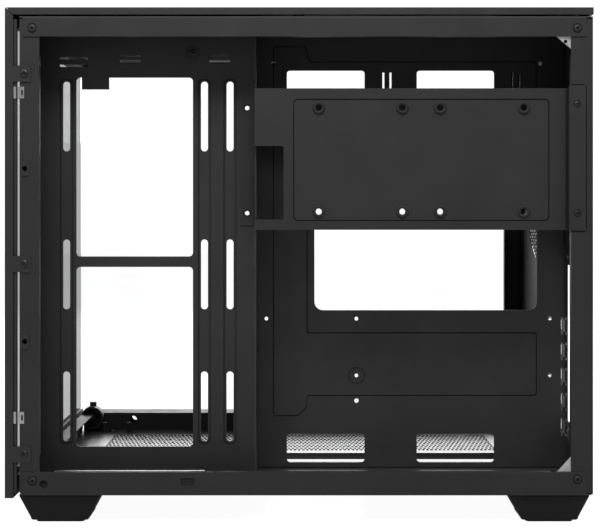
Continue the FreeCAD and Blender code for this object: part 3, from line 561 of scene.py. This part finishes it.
def net(name, node, x0, x1, y0, y1, z0, z1, pitch):
    """Woven net: flat threads one way over flat threads the other, inside a hem."""
    build = Build()
    mid, w, hem = (z0 + z1) / 2, pitch * 0.24, 1.2
    x = x0 + pitch
    while x < x1 - pitch * 0.5:
        prism_box(build, x - w, x + w, y0 + 0.5, y1 - 0.5, z0, mid)
        x += pitch
    y = y0 + pitch
    while y < y1 - pitch * 0.5:
        prism_box(build, x0 + 0.5, x1 - 0.5, y - w, y + w, mid, z1)
        y += pitch
    for a, b, c, d in ((x0, x0 + hem, y0, y1), (x1 - hem, x1, y0, y1),
                       (x0 + hem, x1 - hem, y0, y0 + hem), (x0 + hem, x1 - hem, y1 - hem, y1)):
        prism_box(build, a, b, c, d, z0, z1)
    stand_in(build.object(name), node)


floor_vents()
fan_honeycomb()
net("top_filter_net", "top_filter_mesh", -114.6, -0.4, -179.6, 171.6, 376.4, 376.7, 1.5)
net("bottom_filter_net", "bottom_filter_mesh", -100.0, -16.0, -189.0, 179.0, 17.8, 18.1, 1.8)


# ---------------------------------------------------------------- fasteners
def rivets():
    """Hollow rivets: a domed ring with a dark punched middle."""
    build = Build()

    def one(origin, axis, r, h):
        ring = [(0, h * 0.1), (r * 0.34, h * 0.1), (r * 0.38, h * 0.95)]
        ring += [(r * 0.5, h), (r * 0.72, h * 0.92), (r * 0.9, h * 0.6), (r, h * 0.12), (r, 0), (0, 0)]
        lathe(build, origin, axis, ring, 36)

    for y, z in ((-195.5, 362.4), (203.6, 362.4), (-195.3, 31.1), (203.6, 32.2)):
        one((RAIL_X, y, z), "+X", 2.6, 0.8)
    one((BRACKET_X - 0.5, -81.2, 349.3), "+X", 2.6, 1.4)
    for z in (60.0, 150.0, 240.0, 330.0):
        one((TRAY_X + 0.8, -40.5, z), "+X", 2.2, 0.9)
    for x in (-108.0, 20.0, 112.0):
        for z in (25.6, 364.0):
            one((x, BACK, z), "+Y", 2.4, 0.9)
    for z in (80.0, 190.0, 300.0):
        one((-133.0, BACK, z), "+Y", 2.4, 0.9)
    stand_in(build.object("hollow_rivets"), "chassis_rivets")


def screws():
    """Pan heads with short shanks: drive plate ear, front frame ears, feet."""
    build = Build()

    def shank(x, y, z, length):
        lathe(build, (x - length, y, z), "+X", [(0, 0), (1.4, 0.3), (1.4, length), (0, length)], 20)

    for z in (227.0, 307.0):
        crossed_head(build, (RAIL_X - 0.45, 203.5, z), "+X", 2.0, 0.8, slot=0.34)
        shank(RAIL_X - 0.45, 203.5, z, 4.0)
    for z in (329.2, 189.8, 50.5):
        crossed_head(build, (RAIL_X, -201.3, z), "+X", 2.8, 1.0)
        shank(RAIL_X, -201.3, z, 5.0)
    for end in ("front", "rear"):
        y = (FEET[end][0] + FEET[end][1]) / 2
        for x in (118.0, -115.0):
            crossed_head(build, (x, y, FLOOR_TOP), "+Z", 3.2, 1.6)
    stand_in(build.object("cross_head_screws"), "case_screws")


def thumb_screws():
    """Slot screws: knurled collar under a cross-slotted cap."""
    build = Build()
    for z in SLOT_Z:
        y = BACK + 5.6
        n = 60
        verts, faces = [], []
        for h in (0.3, 0.55, 2.3, 2.6):
            for k in range(n):
                edge = 4.2 if h in (0.55, 2.3) else 3.9
                r = edge - (0.22 if k % 2 else 0.0)
                a = 2 * math.pi * k / n
                verts.append((-61.9 - h, y + r * math.cos(a), z + r * math.sin(a)))
        for i in range(3):
            faces += [(i * n + k, i * n + (k + 1) % n, (i + 1) * n + (k + 1) % n, (i + 1) * n + k)
                      for k in range(n)]
        faces += [tuple(range(n))[::-1], tuple(3 * n + k for k in range(n))]
        build.add(verts, faces)
        crossed = Build()
        crossed_head(crossed, (0.0, 0.0, 0.0), "-X", 3.4, 1.0, slot=0.5)
        build.add([(v[0] - 64.4, v[1] + y, v[2] + z) for v in crossed.verts], crossed.faces)
        stem = [(0, -0.2), (1.55, -0.2), (1.55, 4.0), (1.1, 4.5), (0, 4.5)]
        lathe(build, (-62.0, y, z), "+X", stem, 20)
    stand_in(build.object("slot_thumb_screws"), "slot_screws")


def grommets():
    """Rubber rings with a rounded lip, snapped through the drive plate."""
    build = Build()
    for c in DRIVE_CENTRES:
        for i in (-1, 1):
            for j in (-1, 1):
                spot = (DRIVE_X, c + i * DRIVE_W / 2, DRIVE_Z + j * DRIVE_L / 2)
                ring = [(2.2, -2.6), (2.5, -3.0), (4.0, -3.0), (4.55, -2.5), (4.55, -1.3), (4.2, -1.02),
                        (3.3, -1.0), (3.3, -0.35), (4.2, -0.33), (4.6, -0.1), (4.55, 0.35), (4.2, 0.75),
                        (3.7, 0.9), (3.1, 0.85), (2.5, 0.55), (2.2, 0.1), (2.2, -2.6)]
                lathe(build, spot, "+X", ring, 44)
    ob = build.object("drive_rubber_rings", 50.0)
    weld(ob)
    stand_in(ob, "drive_grommets")


rivets()
screws()
thumb_screws()
grommets()


# ---------------------------------------------------------------- feet
def rounded_ring(x0, x1, y0, y1, r, n=6):
    """Rectangle with rounded corners."""
    pts = []
    for cx, cy, a in ((x1 - r, y1 - r, 0), (x0 + r, y1 - r, 90),
                      (x0 + r, y0 + r, 180), (x1 - r, y0 + r, 270)):
        pts += arc(cx, cy, r, a, a + 90, n)
    return pts


def foot(node, side, end):
    """Tapered foot with rounded corners, a chamfer near the ground and a shadow groove on top."""
    top_a, top_b, low_a, low_b = FEET[end]
    x0, x1 = (107.0, 143.0) if side > 0 else (-143.0, -107.0)
    # height, inset and corner radius of each outline from the floor down
    levels = [(FLOOR_LOW, 0.7, 2.0), (19.7, 0.7, 2.0), (19.5, 0.0, 2.4), (12.0, 0.0, 2.4),
              (3.6, 0.0, 2.4), (2.4, 0.25, 2.4), (1.5, 0.8, 2.2)]
    verts, rings = [], []
    for z, inset, r in levels:
        t = min((FLOOR_LOW - z) / 16.9, 1.0)
        ya = top_a + (low_a - 1.5 - top_a) * t + inset
        yb = top_b + (low_b + 1.5 - top_b) * t - inset
        lean = 1.6 * t
        ring = rounded_ring(x0 + inset + lean, x1 - inset - lean, ya, yb, r)
        rings.append(range(len(verts), len(verts) + len(ring)))
        verts += [(x, y, z) for x, y in ring]
    faces = []
    for p, q in zip(rings, rings[1:]):
        n = len(p)
        faces += [(p[k], p[(k + 1) % n], q[(k + 1) % n], q[k]) for k in range(n)]
    faces += [tuple(rings[0])[::-1], tuple(rings[-1])]
    build = Build()
    build.add(verts, faces)
    ob = build.object(node + "_shell", 28.0)
    soften(ob, 0.3 * MM, 2, 30.0)
    stand_in(ob, node)


for foot_end in ("front", "rear"):
    foot("foot_" + foot_end + "_right", 1, foot_end)
    foot("foot_" + foot_end + "_left", -1, foot_end)


# ---------------------------------------------------------------- buttons and sockets
def power_button():
    """Cap with a dished face, a flange, a ring pocket that clears the coil, and a stem."""
    build = Build()
    prof = [(0, -0.62), (1.5, -0.64), (3.0, -0.7), (4.4, -0.8), (5.1, -0.9), (5.5, -0.98), (5.85, -0.9),
            (6.0, -0.7), (6.0, 1.2), (6.7, 1.2), (6.7, 2.4), (4.8, 2.4), (4.8, 0.6), (3.2, 0.6),
            (3.2, 2.4), (2.2, 2.4), (2.2, 8.9), (1.9, 9.0), (0, 9.0)]
    lathe(build, (-RAIL_X, BUTTON_Y, BUTTON_Z), "+X", prof, 64)
    stand_in(build.object("power_button_cap"), "power_button")


def spring():
    """Coil behind the button, closer wound at its ends."""
    build = Build()
    turns, length, radius, n = 4.6, 6.0, 4.0, 160
    pts = []
    for k in range(n + 1):
        t = k / n
        lead = t - 0.35 * math.sin(2 * math.pi * t) / (2 * math.pi)
        a = 2 * math.pi * turns * t
        pts.append((-142.3 + length * lead, BUTTON_Y + radius * math.cos(a),
                    BUTTON_Z + radius * math.sin(a)))
    tube_along(build, pts, 0.24, 10)
    stand_in(build.object("power_button_coil", 60.0), "power_button_spring")


power_button()
spring()


# ---------------------------------------------------------------- stage, light, camera
def ground():
    """Plain pale floor that glows for the camera and less for everything else."""
    floor = mesh_object("stage_floor", [(-6, -6, 0), (6, -6, 0), (6, 6, 0), (-6, 6, 0)],
                        [(0, 1, 2, 3)], smooth=False)
    mat, nt, bsdf = node_material("stage_floor")
    base = mix_colour(nt, ramp(nt, noise(nt, 3.0), [(0.3, 0.0), (0.7, 1.0)]),
                      (0.24, 0.24, 0.24), (0.27, 0.27, 0.27))
    nt.links.new(base, bsdf.inputs["Base Color"])
    bsdf.inputs["Roughness"].default_value = 1.0
    bsdf.inputs["Specular IOR Level"].default_value = 0.0
    bsdf.inputs["Emission Color"].default_value = (1, 1, 1, 1)
    path = nt.nodes.new("ShaderNodeLightPath")
    glow = map_range(nt, path.outputs["Is Camera Ray"], To_Min=0.22, To_Max=0.95)
    nt.links.new(glow, bsdf.inputs["Emission Strength"])
    paint(floor, mat)


def studio():
    """White surround for the camera; as light it is bright from the left side and dim from the right."""
    world = bpy.data.worlds.new("studio")
    bpy.context.scene.world = world
    world.use_nodes = True
    nt = world.node_tree
    empty_tree(nt)
    out = nt.nodes.new("ShaderNodeOutputWorld")
    seen = nt.nodes.new("ShaderNodeBackground")
    seen.inputs["Strength"].default_value = 1.25
    seen.inputs["Color"].default_value = (1, 1, 1, 1)
    lit = nt.nodes.new("ShaderNodeBackground")
    lit.inputs["Color"].default_value = (1, 1, 1, 1)
    coord = nt.nodes.new("ShaderNodeTexCoord")
    axes = nt.nodes.new("ShaderNodeSeparateXYZ")
    nt.links.new(coord.outputs["Generated"], axes.inputs[0])
    side = map_range(nt, axes.outputs["X"], From_Min=-0.15, From_Max=0.25, To_Min=1.3, To_Max=0.36)
    nt.links.new(side, lit.inputs["Strength"])
    path = nt.nodes.new("ShaderNodeLightPath")
    mix = nt.nodes.new("ShaderNodeMixShader")
    nt.links.new(path.outputs["Is Camera Ray"], mix.inputs[0])
    nt.links.new(lit.outputs[0], mix.inputs[1])
    nt.links.new(seen.outputs[0], mix.inputs[2])
    nt.links.new(mix.outputs[0], out.inputs[0])


def area(name, where, target, size, power):
    light = bpy.data.lights.new(name, "AREA")
    light.shape = "RECTANGLE"
    light.size, light.size_y = size
    light.energy = power
    ob = bpy.data.objects.new(name, light)
    bpy.context.scene.collection.objects.link(ob)
    ob.location = where
    ob.rotation_euler = (Vector(target) - Vector(where)).to_track_quat("-Z", "Y").to_euler()
    ob.visible_camera = False


def lights():
    area("key", (0.7, -0.1, 1.15), (0.145, 0, 0.34), (0.9, 0.35), 13.0)
    area("back", (-1.5, 0.25, 0.75), (0, 0, 0.05), (1.6, 0.8), 24.0)
    area("top", (0.1, 0.1, 1.7), (0, 0, 0.3), (1.2, 1.2), 7.0)


def camera():
    cam = bpy.data.cameras.new("camera")
    ob = bpy.data.objects.new("camera", cam)
    bpy.context.scene.collection.objects.link(ob)
    cam.sensor_width = 36.0
    cam.lens = 73.4
    cam.shift_x = 0.0013
    cam.shift_y = -0.085
    cam.clip_start = 0.05
    ob.location = (1.040, Y_SHIFT * MM, 0.2264)
    ob.rotation_euler = (math.radians(90), 0, math.radians(90))
    bpy.context.scene.camera = ob


ground()
studio()
lights()
camera()
bpy.context.scene.view_settings.view_transform = "Standard"
bpy.context.scene.view_settings.look = "None"

bpy.context.view_layer.update()
